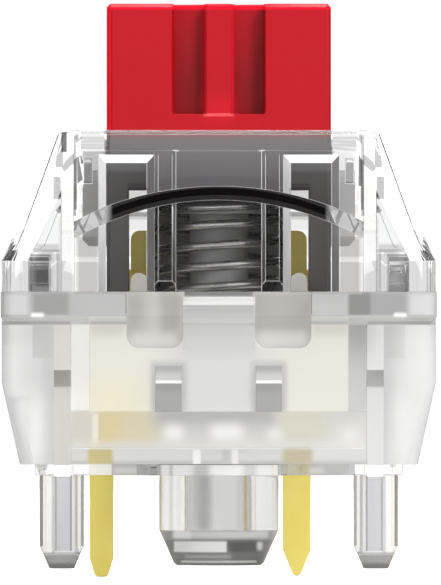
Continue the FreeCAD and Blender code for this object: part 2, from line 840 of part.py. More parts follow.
def make_moving_terminal():
    """Right pin and the strip that the leaf stands against."""
    foot = floor_z + seat_gap
    half = arm_outer_x
    pin = pin_blade(moving_pin_x, moving_pin_y, moving_pin_width, moving_tip_width, moving_pin_taper_z,
                    foot + sheet_thickness)
    strip = block(-half, half, leaf_rear_y, leaf_rear_y + sheet_thickness, foot,
                  leaf_foot_z + leaf_foot_height)
    return fuse_all([pin, strip])


def leaf_panel(x0, x1, z0, z1):
    return block(x0, x1, leaf_front_y, leaf_rear_y, z0, z1)


def make_contact_leaf():
    """A thin frame: a foot, two arms with an ear and a bump for each cam leg, and a bar across."""
    frame = leaf_panel(-arm_outer_x, arm_outer_x, leaf_foot_z, leaf_top_z)
    outer = [e for e in frame.Edges
             if e.BoundBox.ZMin > leaf_top_z - near and e.BoundBox.YLength > e.BoundBox.XLength]
    frame = frame.makeFillet(arm_round, outer)
    bar_low = contact_z - leaf_bar_height / 2
    window = block(-arm_inner_x, arm_inner_x, leaf_front_y - past, leaf_rear_y + past,
                   leaf_foot_z + leaf_foot_height, bar_low)
    mouth = block(-arm_inner_x, arm_inner_x, leaf_front_y - past, leaf_rear_y + past,
                  bar_low + leaf_bar_height, leaf_top_z + past)
    frame = frame.cut(window).cut(mouth)
    ear_end = leg_inner_x + leg_width
    ear = leaf_panel(arm_inner_x, ear_end, bump_z - ear_height / 2, bump_z + ear_height / 2)
    roll = Part.makeCylinder(bump_radius, leg_width,
                             vec(leg_inner_x, leaf_front_y - bump_proud + bump_radius, bump_z),
                             vec(1, 0, 0))
    behind = block(0, ear_end + past, leaf_rear_y - leaf_thickness / 2, leaf_rear_y + past, 0, top_z)
    return fuse_all([frame] + both_sides(ear) + both_sides(roll.cut(behind)))


def make_fixed_contact_bar():
    """An upright bar on the tongue, its ends sloped."""
    z = contact_z
    return side_prism([(fixed_rear_y, z - fixed_bar_half), (fixed_rear_y, z + fixed_bar_half),
                       (fixed_bar_y, z + fixed_bar_crown), (fixed_bar_y, z - fixed_bar_crown)],
                      -bar_half_width, bar_half_width)


def make_moving_contact_bar():
    """A level bar on the leaf, so that the two bars cross."""
    z = contact_z
    return side_prism([(leaf_front_y, z - bar_half_width), (moving_bar_y, z - bar_crown_half),
                       (moving_bar_y, z + bar_crown_half), (leaf_front_y, z + bar_half_width)],
                      -moving_bar_half, moving_bar_half)


nodes = {
    "lower_housing": make_lower_housing,
    "upper_housing": make_upper_housing,
    "stem": make_stem,
    "return_spring": make_return_spring,
    "fixed_terminal": make_fixed_terminal,
    "moving_terminal": make_moving_terminal,
    "contact_leaf": make_contact_leaf,
    "fixed_contact_bar": make_fixed_contact_bar,
    "moving_contact_bar": make_moving_contact_bar,
}

os.makedirs("parts", exist_ok=True)
for name, make in nodes.items():
    shape = make()
    box = shape.BoundBox
    print(name, shape.isValid(), len(shape.Solids), round(shape.Volume, 3),
          [round(v, 3) for v in (box.XMin, box.XMax, box.YMin, box.YMax, box.ZMin, box.ZMax)])
    shape.exportStep(os.path.join("parts", name + ".step"))
print("leaf swing, radians:", round(leaf_swing, 5))
print("leaf swing per metre of stem travel:", round(leaf_swing / stem_travel * 1000, 4))
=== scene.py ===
import json
import math

import bmesh
import bpy
import numpy as np
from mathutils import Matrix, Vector


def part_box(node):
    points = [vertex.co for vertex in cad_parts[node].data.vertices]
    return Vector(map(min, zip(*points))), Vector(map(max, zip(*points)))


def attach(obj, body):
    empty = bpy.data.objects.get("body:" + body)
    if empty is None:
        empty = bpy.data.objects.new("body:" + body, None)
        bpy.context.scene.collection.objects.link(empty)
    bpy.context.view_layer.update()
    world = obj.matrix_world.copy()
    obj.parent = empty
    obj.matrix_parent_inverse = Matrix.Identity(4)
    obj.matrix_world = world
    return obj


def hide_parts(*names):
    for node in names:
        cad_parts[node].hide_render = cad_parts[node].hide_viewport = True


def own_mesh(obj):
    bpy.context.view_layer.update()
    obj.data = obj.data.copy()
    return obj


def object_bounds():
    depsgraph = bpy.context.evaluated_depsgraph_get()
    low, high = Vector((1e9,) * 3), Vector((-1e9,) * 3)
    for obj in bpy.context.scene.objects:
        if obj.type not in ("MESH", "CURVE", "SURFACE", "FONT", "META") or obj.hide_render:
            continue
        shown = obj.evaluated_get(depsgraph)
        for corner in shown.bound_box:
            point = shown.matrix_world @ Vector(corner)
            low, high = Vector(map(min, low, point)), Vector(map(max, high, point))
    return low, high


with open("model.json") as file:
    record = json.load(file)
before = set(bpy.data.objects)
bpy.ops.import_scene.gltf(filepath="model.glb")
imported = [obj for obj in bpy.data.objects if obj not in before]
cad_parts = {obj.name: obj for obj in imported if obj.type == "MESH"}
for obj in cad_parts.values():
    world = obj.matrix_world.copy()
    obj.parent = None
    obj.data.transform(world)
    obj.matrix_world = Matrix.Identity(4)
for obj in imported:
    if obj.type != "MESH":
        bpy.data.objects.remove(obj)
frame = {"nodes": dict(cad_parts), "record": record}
restLow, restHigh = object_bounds()
mm = 0.001
print("frame loaded:", len(frame["nodes"]), "nodes")


# small helpers for node materials

def newMaterial(name):
    mat = bpy.data.materials.new(name)
    mat.use_nodes = True
    mat.node_tree.nodes.clear()
    return mat, mat.node_tree


def feed(tree, socket, value):
    # an output of another node is linked to the socket, a number or a colour is written into it
    if isinstance(value, bpy.types.NodeSocket):
        tree.links.new(value, socket)
    elif socket.type == "RGBA" and len(value) == 3:
        socket.default_value = (*value, 1.0)
    else:
        socket.default_value = value


def addNode(tree, kind, inputs=None, **settings):
    # inputs are named or numbered as on the node, and those that are None keep their own value
    node = tree.nodes.new(kind)
    for key, value in settings.items():
        setattr(node, key, value)
    for key, value in (inputs or {}).items():
        if value is not None:
            feed(tree, node.inputs[key], value)
    return node


def mathNode(tree, operation, a, b=None, c=None, clamp=False):
    inputs = {0: a, 1: b, 2: c}
    return addNode(tree, "ShaderNodeMath", inputs, operation=operation, use_clamp=clamp).outputs[0]


def mixColour(tree, factor, a, b):
    return addNode(tree, "ShaderNodeMix", {0: factor, 6: a, 7: b}, data_type="RGBA").outputs[2]


def ramp(tree, value, low, high, outLow=0.0, outHigh=1.0, smooth=False):
    # out = outLow + (outHigh - outLow) * (value - low) / (high - low), held at both ends
    inputs = {0: value, 1: low, 2: high, 3: outLow, 4: outHigh}
    style = "SMOOTHSTEP" if smooth else "LINEAR"
    return addNode(tree, "ShaderNodeMapRange", inputs, interpolation_type=style).outputs[0]


def objectPoint(tree):
    # place on the piece in millimetres, whole and as x, y and z
    place = addNode(tree, "ShaderNodeTexCoord").outputs["Object"]
    point = addNode(tree, "ShaderNodeVectorMath", {0: place, "Scale": 1 / mm}, operation="SCALE").outputs[0]
    return point, addNode(tree, "ShaderNodeSeparateXYZ", {0: point}).outputs


def noise(tree, point, size, detail=3.0, rough=0.5, stretch=None):
    # size is the width of one blotch in millimetres, stretch squeezes the pattern along x, y and z
    if stretch:
        point = addNode(tree, "ShaderNodeVectorMath", {0: point, 1: stretch}, operation="MULTIPLY").outputs[0]
    inputs = {"Vector": point, "Scale": 1.0 / size, "Detail": detail, "Roughness": rough}
    return addNode(tree, "ShaderNodeTexNoise", inputs).outputs["Fac"]


def bump(tree, height, depth):
    # depth is the relief in millimetres for a height of 1
    return addNode(tree, "ShaderNodeBump", {"Distance": depth * mm, "Height": height}).outputs["Normal"]


def facing(tree):
    # 0 where a face is looked at squarely, 1 where it is looked along
    return addNode(tree, "ShaderNodeLayerWeight", {"Blend": 0.5}).outputs["Facing"]


def output(tree, shader):
    addNode(tree, "ShaderNodeOutputMaterial", {"Surface": shader})


def litThrough(tree, glass, tint):
    # lets lamps and bounced light straight through clear plastic, so that what is inside is lit
    shadowRay = addNode(tree, "ShaderNodeLightPath").outputs["Is Shadow Ray"]
    clear = addNode(tree, "ShaderNodeBsdfTransparent", {"Color": tint}).outputs[0]
    return addNode(tree, "ShaderNodeMixShader", {0: shadowRay, 1: glass, 2: clear}).outputs[0]


def product(tree, factors):
    # all the factors multiplied together, leaving out those that are None
    out = None
    for factor in factors:
        if factor is not None:
            out = factor if out is None else mathNode(tree, "MULTIPLY", out, factor)
    return out


def between(tree, value, low, high, soft=0.03):
    # 1 from low to high and 0 outside, with soft millimetres of change at each end
    # None leaves an end open
    up = None if low is None else ramp(tree, value, low - soft, low + soft, smooth=True)
    down = None if high is None else ramp(tree, value, high - soft, high + soft, 1.0, 0.0, smooth=True)
    return product(tree, (up, down))


def patchMask(tree, xyz, acrossX, row, share=None):
    x0, x1, z0, z1, soft = row[:5]
    across = xyz[0] if row[-1] == "one" else acrossX
    wide = between(tree, across, x0, x1, soft)
    tall = between(tree, xyz[2], z0, z1, soft)
    return product(tree, (wide, tall, share))


def patched(tree, xyz, acrossX, colour, rows, share=None):
    # patch rows: x from, x to, z from, z to in millimetres, softness, tint; the tints mostly paint light and
    # shade
    # x is counted outwards from the middle, or from left to right where the row ends with "one"
    # a later row lies over the earlier ones
    for row in rows:
        colour = mixColour(tree, patchMask(tree, xyz, acrossX, row, share), colour, row[5])
    return colour


def patchedValue(tree, xyz, acrossX, value, rows):
    # the same for a plain number: value + mask * (number - value)
    for row in rows:
        mask = patchMask(tree, xyz, acrossX, row)
        left = mathNode(tree, "SUBTRACT", 1.0, mask)
        value = mathNode(tree, "MULTIPLY_ADD", mask, row[5], mathNode(tree, "MULTIPLY", left, value))
    return value


# materials

redPlastic = {
    "red": (0.50, 0.009, 0.018),
    "deepRed": (0.44, 0.007, 0.015),
    # painted shade on the groove floors, darker downwards and to the right
    "groove": (0.22, 0.008, 0.011),
    "grooveX": (0.50, 1.49),
    "grooveZ": (11.66, 15.00),
    "grooveY": (3.1, 3.3),
    "grooveDown": (15.2, 12.6, 0.05, 0.75),
    "grooveRight": 0.45,
    # painted shade: the stem's part inside the housing is grey, darker downwards and pink just under the top
    "shadedPink": (0.26, 0.070, 0.075),
    "insideShade": (0.130, 0.124, 0.125),
    "deepInsideShade": (0.085, 0.081, 0.083),
    "seam": 11.09,
    "shadedPinkLow": 10.55,
    "deepShadeTop": 8.6,
    "seamSoft": 0.02,
    "roughness": (0.31, 0.43),
    "ior": 1.48,
    "specular": 0.16,
    "cloud": (1.6, 4.0),
    "worn": 0.3,
    "grain": (0.05, 2.0),
    "relief": 0.0012,
    # painted light and shade on the stem: a highlight along the top, a bright rim reflection at the left,
    # dark and bright lines along the sides and groove walls, a lighter rib foot, and lighter and darker greys
    # inside the housing
    "paintedLightAndShade": [
        (None, 4.00, 15.01, 15.30, 0.02, (0.86, 0.004, 0.025)),
        (-3.70, -3.47, 11.10, 15.02, 0.01, (0.80, 0.002, 0.014), "one"),
        (-3.47, -3.42, 11.10, 15.00, 0.01, (0.40, 0.000, 0.004), "one"),
        (3.55, 3.70, 11.10, 15.02, 0.01, (0.42, 0.000, 0.004), "one"),
        (-1.52, -1.44, 11.70, 15.00, 0.01, (0.40, 0.000, 0.004), "one"),
        (-0.56, -0.46, 11.70, 15.00, 0.01, (0.42, 0.000, 0.004), "one"),
        (0.44, 0.50, 11.70, 15.00, 0.01, (0.62, 0.010, 0.024), "one"),
        (1.42, 1.50, 11.70, 15.00, 0.01, (0.26, 0.000, 0.001), "one"),
        (-0.46, 0.44, 11.40, 12.20, 0.35, (0.60, 0.011, 0.022), "one"),
        (None, 0.50, 11.56, 11.67, 0.01, (0.66, 0.05, 0.06)),
        (None, 2.20, 4.90, 8.55, 0.10, (0.36, 0.352, 0.345)),
        (2.20, 3.70, 4.90, 9.60, 0.10, (0.062, 0.058, 0.056)),
        (3.66, 5.00, 9.45, 10.80, 0.05, (0.85, 0.85, 0.85)),
        (3.66, 5.00, 7.00, 9.45, 0.05, (0.46, 0.455, 0.45)),
    ],
}


def grooveShade(tree, xyz, acrossX, p):
    # painted shade: the groove floors lie deeper and are darkened, shade = floor * (downwards + rightwards)
    x0, x1 = p["grooveX"]
    z0, z1 = p["grooveZ"]
    acrossY = mathNode(tree, "ABSOLUTE", xyz[1])
    floor = product(tree, (between(tree, acrossX, x0, x1, 0.01), between(tree, xyz[2], z0, z1, 0.02),
                           ramp(tree, acrossY, *p["grooveY"], 1.0, 0.0)))
    # both grooves run from 0 to 1 in one count, so that each begins anew at its left side
    step = mathNode(tree, "DIVIDE", mathNode(tree, "ADD", xyz[0], x1), x0 + x1)
    rightwards = ramp(tree, mathNode(tree, "FRACT", step), 0.0, 0.5, 0.0, p["grooveRight"])
    downwards = ramp(tree, xyz[2], *p["grooveDown"])
    return mathNode(tree, "MULTIPLY", mathNode(tree, "ADD", downwards, rightwards), floor, clamp=True)


def makeRedPlastic(p):
    mat, tree = newMaterial("red_plastic")
    point, xyz = objectPoint(tree)
    acrossX = mathNode(tree, "ABSOLUTE", xyz[0])
    cloud = noise(tree, point, *p["cloud"])
    grain = noise(tree, point, *p["grain"])
    red = mixColour(tree, ramp(tree, cloud, 0.35, 0.70, 0.0, p["worn"]), p["red"], p["deepRed"])
    # painted shade on the groove floors
    red = mixColour(tree, grooveShade(tree, xyz, acrossX, p), red, p["groove"])
    # the stem is red above the housing's top; below it, painted shade: grey, darker downwards and pink just
    # under the top
    insideShade = mixColour(tree, ramp(tree, xyz[2], p["deepShadeTop"], p["shadedPinkLow"], smooth=True), p["deepInsideShade"],
                      p["insideShade"])
    insideShade = mixColour(tree, ramp(tree, xyz[2], p["shadedPinkLow"], p["seam"], smooth=True), insideShade, p["shadedPink"])
    above = ramp(tree, xyz[2], p["seam"] - p["seamSoft"], p["seam"] + p["seamSoft"])
    # painted light and shade from the rows laid over the colour
    colour = patched(tree, xyz, acrossX, mixColour(tree, above, insideShade, red), p["paintedLightAndShade"])
    shader = addNode(tree, "ShaderNodeBsdfPrincipled", {
        "Base Color": colour,
        "IOR": p["ior"],
        "Specular IOR Level": p["specular"],
        "Roughness": ramp(tree, cloud, 0.3, 0.7, *p["roughness"]),
        "Normal": bump(tree, grain, p["relief"]),
    })
    output(tree, shader.outputs[0])
    return mat


clearPlastic = {
    "tint": (0.985, 0.987, 0.99),
    "edgeTint": (0.45, 0.46, 0.47),
    "edgeFrom": 0.90,
    "ior": 1.18,
    "ripple": (2.2, 2.0),
    "haze": (0.5, 4.0, 0.6),
    "worn": 0.97,
    "roughness": (0.0, 0.02),
    "relief": 0.0002,
    "shadow": (0.93, 0.93, 0.94),
    # painted light and shade on the cap: grey corners, a darker left window than right, dark and white lines
    # along rails and edges, white blocks and a gold-tinted reflection
    "paintedLightAndShade": [
        (5.12, 6.98, 5.90, 7.42, 0.01, (0.70, 0.70, 0.70)),
        (5.80, 6.70, 6.90, 7.45, 0.12, (0.86, 0.86, 0.86)),
        (6.70, 6.98, 5.90, 7.30, 0.05, (0.62, 0.62, 0.62)),
        (-5.94, -5.44, 6.14, 6.82, 0.01, (0.55, 0.55, 0.55), "one"),
        (5.44, 5.94, 6.14, 6.82, 0.01, (0.76, 0.76, 0.76), "one"),
        (4.69, 5.06, 8.20, 9.80, 0.01, (0.92, 0.92, 0.92)),
        (4.50, 5.10, 7.75, 8.25, 0.08, (0.78, 0.77, 0.75)),
        (4.70, 5.12, 5.90, 7.70, 0.02, (0.84, 0.84, 0.84)),
        (3.90, 4.58, 5.90, 7.70, 0.03, (0.76, 0.75, 0.74)),
        (3.84, 4.50, 8.25, 9.45, 0.02, (0.84, 0.84, 0.84)),
        (4.06, 4.34, 9.40, 10.08, 0.01, (0.45, 0.45, 0.45)),
        (5.06, 5.31, 8.89, 9.62, 0.02, (0.15, 0.15, 0.15)),
        (4.56, 4.66, 8.35, 10.95, 0.01, (0.20, 0.20, 0.20)),
        (3.66, 4.56, 10.50, 11.06, 0.01, (0.84, 0.84, 0.84)),
        (3.66, 4.56, 10.58, 10.68, 0.01, (0.58, 0.58, 0.58)),
        (3.66, 4.56, 10.82, 10.90, 0.01, (0.56, 0.56, 0.56)),
        (3.66, 5.10, 11.01, 11.12, 0.01, (0.62, 0.62, 0.62)),
        (-5.06, -4.87, 10.40, 11.06, 0.02, (0.02, 0.02, 0.02), "one"),
        (2.25, 2.93, 8.78, 9.26, 0.01, (0.52, 0.52, 0.52)),
        (2.25, 2.93, 8.36, 8.50, 0.01, (0.50, 0.50, 0.50)),
        (2.25, 2.93, 7.93, 8.36, 0.01, (0.92, 0.92, 0.92)),
        (2.85, 2.94, 8.50, 8.78, 0.01, (0.97, 0.86, 0.55)),
        (6.50, 6.62, 5.95, 7.30, 0.03, (0.80, 0.80, 0.80)),
        (6.22, 6.30, 5.95, 7.30, 0.02, (0.76, 0.76, 0.76)),
        (5.15, 5.22, 5.95, 7.30, 0.02, (0.70, 0.70, 0.70)),
        (5.30, 5.40, 5.95, 7.10, 0.02, (1.00, 1.00, 1.00)),
    ],
}


def makeClearPlastic(name, p):
    mat, tree = newMaterial(name)
    point, xyz = objectPoint(tree)
    acrossX = mathNode(tree, "ABSOLUTE", xyz[0])
    ripple = noise(tree, point, *p["ripple"])
    haze = noise(tree, point, *p["haze"])
    cloud = mixColour(tree, haze, p["tint"], tuple(p["worn"] * v for v in p["tint"]))
    # painted light and shade laid over the haze
    cloud = patched(tree, xyz, acrossX, cloud, p["paintedLightAndShade"])
    colour = mixColour(tree, ramp(tree, facing(tree), p["edgeFrom"], 1.0), cloud, p["edgeTint"])
    shader = addNode(tree, "ShaderNodeBsdfPrincipled", {
        "Base Color": colour,
        "IOR": p["ior"],
        "Transmission Weight": 1.0,
        "Roughness": ramp(tree, haze, 0.4, 0.75, *p["roughness"]),
        "Normal": bump(tree, ripple, p["relief"]),
    })
    output(tree, litThrough(tree, shader.outputs[0], p["shadow"]))
    return mat


revealLight = {
    "tint": (1.00, 1.00, 1.00),
    "worn": 0.92,
    "clear": 0.10,
    "ior": 1.20,
    "roughness": (0.35, 0.50),
    "grain": (0.06, 3.0),
    "cloud": (0.7, 3.0),
    "relief": 0.001,
    "shadow": (0.80, 0.80, 0.80),
}


def makeRevealFace(name, p):
    # matt faces painted mostly white as a highlight, a little light comes through; with a grey tint they are
    # painted shade
    mat, tree = newMaterial(name)
    point = objectPoint(tree)[0]
    grain = noise(tree, point, *p["grain"])
    cloud = noise(tree, point, *p["cloud"])
    worn = tuple(p["worn"] * v for v in p["tint"])
    shader = addNode(tree, "ShaderNodeBsdfPrincipled", {
        "Base Color": mixColour(tree, ramp(tree, cloud, 0.35, 0.8), p["tint"], worn),
        "IOR": p["ior"],
        "Transmission Weight": p["clear"],
        "Roughness": ramp(tree, cloud, 0.3, 0.7, *p["roughness"]),
        "Normal": bump(tree, grain, p["relief"]),
    })
    output(tree, litThrough(tree, shader.outputs[0], p["shadow"]))
    return mat


edgeLine = {
    "inner": (0.80, 0.80, 0.80),
    "outer": (0.28, 0.28, 0.285),
    "from": (4.70, 4.76),
    "haze": (0.5, 3.0),
    "hazeTint": (0.75, 0.75, 0.75),
    "hazed": 0.15,
    "clear": 0.15,
    "ior": 1.18,
    "roughness": (0.15, 0.30),
    "shadow": (0.80, 0.80, 0.80),
    "paintedLightAndShade": [
        (None, 3.66, 10.15, 10.60, 0.01, (0.22, 0.21, 0.21)),
        (1.28, 1.48, 5.90, 11.20, 0.01, (1.00, 1.00, 1.00)),
        (4.48, 4.72, 8.10, 11.00, 0.01, (0.08, 0.08, 0.08)),
    ],
}


def makeEdgeLine(name, p):
    # rounded edges painted as lines of light and shade: pale highlights in front of the stem, grey shade
    # along the cap's outline
    mat, tree = newMaterial(name)
    point, xyz = objectPoint(tree)
    acrossX = mathNode(tree, "ABSOLUTE", xyz[0])
    haze = noise(tree, point, *p["haze"])
    colour = mixColour(tree, ramp(tree, acrossX, *p["from"]), p["inner"], p["outer"])
    # painted light and shade: dark and white lines on some edges
    colour = patched(tree, xyz, acrossX, colour, p["paintedLightAndShade"])
    shader = addNode(tree, "ShaderNodeBsdfPrincipled", {
        "Base Color": mixColour(tree, ramp(tree, haze, 0.3, 0.8, 0.0, p["hazed"]), colour, p["hazeTint"]),
        "IOR": p["ior"],
        "Transmission Weight": p["clear"],
        "Roughness": ramp(tree, haze, 0.3, 0.7, *p["roughness"]),
    })
    output(tree, litThrough(tree, shader.outputs[0], p["shadow"]))
    return mat


ceilingShade = {
    "tint": (0.80, 0.80, 0.81),
    "black": (0.010, 0.009, 0.009),
    "haze": (0.5, 4.0, 0.6),
    "worn": 0.90,
    "grazing": (0.28, 0.48),
    "fade": (3.40, 3.66, 1.0, 0.10),
    "dark": (0.055, 0.053, 0.053),
    "core": (-6.05, -5.20, 0.04),
    "ior": 1.18,
    "roughness": (0.05, 0.12),
    "shadow": (0.80, 0.80, 0.80),
}


def makeCeilingShade(name, p):
    # painted shade: clear when looked at squarely, black when looked along, as a face does that throws the
    # light back inside
    mat, tree = newMaterial(name)
    point, xyz = objectPoint(tree)
    haze = noise(tree, point, *p["haze"])
    grazing = ramp(tree, facing(tree), *p["grazing"], smooth=True)
    acrossX = mathNode(tree, "ABSOLUTE", xyz[0])
    grazing = mathNode(tree, "MULTIPLY", grazing, ramp(tree, acrossX, *p["fade"]))
    cloud = mixColour(tree, haze, p["tint"], tuple(p["worn"] * v for v in p["tint"]))
    # painted shade: a black band in the middle of the ceiling's depth, dark grey in front of and behind it
    band = mixColour(tree, between(tree, xyz[1], *p["core"]), p["dark"], p["black"])
    shader = addNode(tree, "ShaderNodeBsdfPrincipled", {
        "Base Color": mixColour(tree, grazing, cloud, band),
        "IOR": p["ior"],
        "Specular IOR Level": 0.0,
        "Transmission Weight": mathNode(tree, "SUBTRACT", 1.0, grazing),
        "Roughness": ramp(tree, haze, 0.4, 0.75, *p["roughness"]),
    })
    output(tree, litThrough(tree, shader.outputs[0], p["shadow"]))
    return mat


milkyPlastic = {
    "tint": (0.60, 0.60, 0.605),
    "outer": (0.80, 0.80, 0.80),
    "edgeTint": (0.40, 0.405, 0.41),
    "ior": 1.20,
    "ripple": (2.2, 2.0),
    "haze": (0.5, 4.0, 0.6),
    "cloud": (3.0, 2.0),
    "outerX": (5.3, 6.7),
    "edgeFacing": (0.55, 1.0),
    "edgeZ": (0.0, 0.1, 0.5, 1.0),
    "warm": (1.00, 0.97, 0.90),
    "warmed": 0.06,
    "hazed": 0.03,
    "frost": 0.10,
    "relief": 0.0004,
    "shadow": (0.90, 0.90, 0.89),
    "front": True,
    "clipY": (6.2, 6.3),
    "clipFace": 0.825,
    "nubX": 2.20,
    "nubY": (0.005, 0.020),
    "nubZ": (3.9, 4.0, 1.0, 0.0),
    "slotY": (5.9, 6.9),
    "milk": [
        (None, None, 0.03, 5.16, 0.02, 0.66),
        (4.16, 4.72, 2.08, 4.86, 0.02, 0.40),
        (None, None, 5.14, 5.92, 0.02, 0.90),
        (None, 4.16, 2.08, 5.16, 0.02, 0.80),
        (2.28, 2.86, 5.90, 6.60, 0.02, 0.60),
        (4.72, 5.28, None, 0.37, 0.01, 0.80),
    ],
    # painted light and shade: the walls, clip, slot, nub and flange rows lay highlights, reflections of the
    # gold parts inside, shadows and dark lines into the colour
    "walls": [
        (4.72, 5.28, 0.40, 4.86, 0.01, (0.68, 0.67, 0.64)),
        (4.72, 5.28, 0.40, 4.86, 0.01, (0.76, 0.76, 0.76), "one"),
        (4.72, 5.28, -0.05, 0.40, 0.01, (0.92, 0.92, 0.91)),
        (-5.28, -4.43, 2.87, 3.42, 0.01, (0.38, 0.37, 0.34), "one"),
        (4.43, 5.28, 2.87, 3.42, 0.01, (0.46, 0.46, 0.46), "one"),
        (-4.74, -4.16, 2.08, 5.15, 0.01, (0.99, 0.99, 0.99), "one"),
        (4.16, 4.74, 2.08, 5.15, 0.01, (0.76, 0.76, 0.76), "one"),
        (4.16, 4.74, 4.00, 5.60, 0.80, (0.44, 0.44, 0.44), "one"),
        (None, 4.72, 0.88, 2.07, 0.01, (0.70, 0.695, 0.68)),
        (-4.72, -3.88, 0.88, 2.07, 0.12, (0.70, 0.67, 0.62), "one"),
        (-4.06, -3.86, 1.00, 2.00, 0.08, (0.83, 0.83, 0.80), "one"),
        (-3.86, -2.60, 0.90, 2.10, 0.02, (0.72, 0.64, 0.42), "one"),
        (-3.10, -1.90, 0.60, 2.30, 0.45, (0.72, 0.67, 0.53), "one"),
        (-2.10, 1.90, 1.60, 2.30, 0.35, (0.54, 0.54, 0.54), "one"),
        (1.90, 3.50, 1.10, 2.20, 0.35, (0.71, 0.69, 0.62), "one"),
        (None, 4.72, 0.70, 1.10, 0.20, (0.77, 0.765, 0.75)),
        (-1.75, -1.15, 1.20, 1.60, 0.28, (0.94, 0.94, 0.94), "one"),
        (-0.25, 0.75, 1.20, 1.66, 0.28, (0.93, 0.93, 0.93), "one"),
        (1.60, 2.00, 1.10, 1.55, 0.28, (0.86, 0.86, 0.86), "one"),
        (3.90, 4.50, 1.05, 1.60, 0.35, (0.84, 0.84, 0.83), "one"),
        (None, 4.72, 0.38, 0.88, 0.01, (0.72, 0.72, 0.71)),
        (None, 4.72, 0.38, 0.50, 0.06, (0.58, 0.58, 0.57)),
        (-4.22, -3.42, 0.38, 0.88, 0.10, (0.64, 0.57, 0.30), "one"),
        (2.05, 3.00, 0.38, 0.88, 0.14, (0.60, 0.55, 0.41), "one"),
        (-0.83, -0.58, 0.40, 0.86, 0.04, (0.98, 0.98, 0.98), "one"),
        (0.10, 0.36, 0.40, 0.86, 0.08, (0.60, 0.60, 0.60), "one"),
        (0.42, 0.62, 0.40, 0.86, 0.05, (0.90, 0.90, 0.90), "one"),
        (5.30, 5.96, 3.80, 4.86, 0.01, (0.57, 0.57, 0.57)),
        (5.60, None, 0.40, 2.60, 0.70, (0.84, 0.84, 0.84)),
        (5.90, None, 0.40, 4.86, 0.60, (0.80, 0.80, 0.80), "one"),
    ],
    # the clip faces: warm white, with painted shade round the nubs and in the middle
    "clip": [
        (None, 4.16, 2.07, 4.88, 0.01, (0.73, 0.715, 0.655)),
        (-4.16, -2.60, 1.60, 3.20, 0.70, (0.76, 0.72, 0.58), "one"),
        (None, 1.50, 1.40, 5.40, 0.95, (0.65, 0.65, 0.65)),
        (2.96, 4.16, 4.55, 4.95, 0.25, (0.60, 0.58, 0.55)),
        (1.02, 2.18, 2.05, 3.70, 0.14, (0.54, 0.54, 0.53)),
        (None, 1.155, 4.08, 5.46, 0.01, (0.55, 0.55, 0.55)),
        (None, 1.155, 3.90, 4.55, 0.25, (0.60, 0.60, 0.60)),
        (None, 1.155, 5.15, 5.60, 0.15, (0.45, 0.45, 0.45)),
    ],
    # painted shade in the slots, darker at the top
    "slot": [
        (1.10, 3.00, 4.05, 5.92, 0.01, (0.55, 0.54, 0.51)),
        (-2.94, -2.40, 4.40, 5.92, 0.45, (0.42, 0.41, 0.37), "one"),
        (-1.90, -1.25, 4.40, 5.92, 0.20, (0.42, 0.41, 0.38), "one"),
        (1.10, 3.00, 4.60, 5.92, 0.20, (0.43, 0.42, 0.39), "one"),
        (1.30, 2.80, 4.15, 4.60, 0.25, (0.64, 0.63, 0.61)),
    ],
    # painted shade on the nubs' facets, with a painted highlight along their ridge
    "nub": [
        (None, 3.00, 3.03, 3.70, 0.02, (0.50, 0.50, 0.50)),
        (None, 3.00, 3.35, 3.70, 0.12, (0.40, 0.40, 0.40)),
        (None, 3.00, 1.90, 3.01, 0.02, (0.38, 0.38, 0.38)),
        (None, 3.00, 2.75, 3.01, 0.12, (0.33, 0.33, 0.33)),
        (None, 3.00, 2.99, 3.08, 0.01, (0.92, 0.92, 0.91)),
    ],
    # painted shade on the flange, with painted highlight bands and spots
    "flange": [
        (None, None, 5.16, 6.60, 0.01, (0.46, 0.46, 0.46)),
        (-6.90, -6.10, 5.16, 5.86, 0.12, (0.62, 0.62, 0.62), "one"),
        (-5.95, -4.80, 5.16, 5.90, 0.12, (0.335, 0.335, 0.33), "one"),
        (2.97, 4.10, 5.20, 5.60, 0.20, (0.50, 0.50, 0.50), "one"),
        (4.16, 6.00, 5.16, 5.90, 0.10, (0.37, 0.37, 0.37), "one"),
        (4.16, 4.85, 5.16, 5.90, 0.08, (0.25, 0.25, 0.25), "one"),
        (6.10, 6.90, 5.16, 5.86, 0.12, (0.64, 0.64, 0.64), "one"),
        (2.96, None, 4.86, 5.16, 0.01, (0.72, 0.72, 0.70)),
        (2.96, 4.12, 4.86, 4.98, 0.02, (0.53, 0.53, 0.52)),
        (4.76, None, 4.86, 4.98, 0.02, (0.53, 0.53, 0.52)),
        (2.96, None, 5.13, 5.18, 0.01, (0.46, 0.46, 0.45)),
        (5.60, 6.00, 5.10, 5.24, 0.08, (0.98, 0.98, 0.98)),
        (None, 2.97, 5.78, 5.95, 0.03, (0.15, 0.15, 0.15)),
        (2.97, 4.60, 5.84, 5.95, 0.02, (0.40, 0.40, 0.40)),
        (2.88, 2.98, 5.20, 5.85, 0.01, (0.20, 0.20, 0.20)),
        (None, 1.155, 5.46, 5.72, 0.005, (0.22, 0.218, 0.21)),
        (None, 1.155, 5.71, 5.80, 0.01, (0.35, 0.35, 0.35)),
        (2.28, 2.86, 5.93, 6.60, 0.01, (0.58, 0.56, 0.53)),
    ],
}

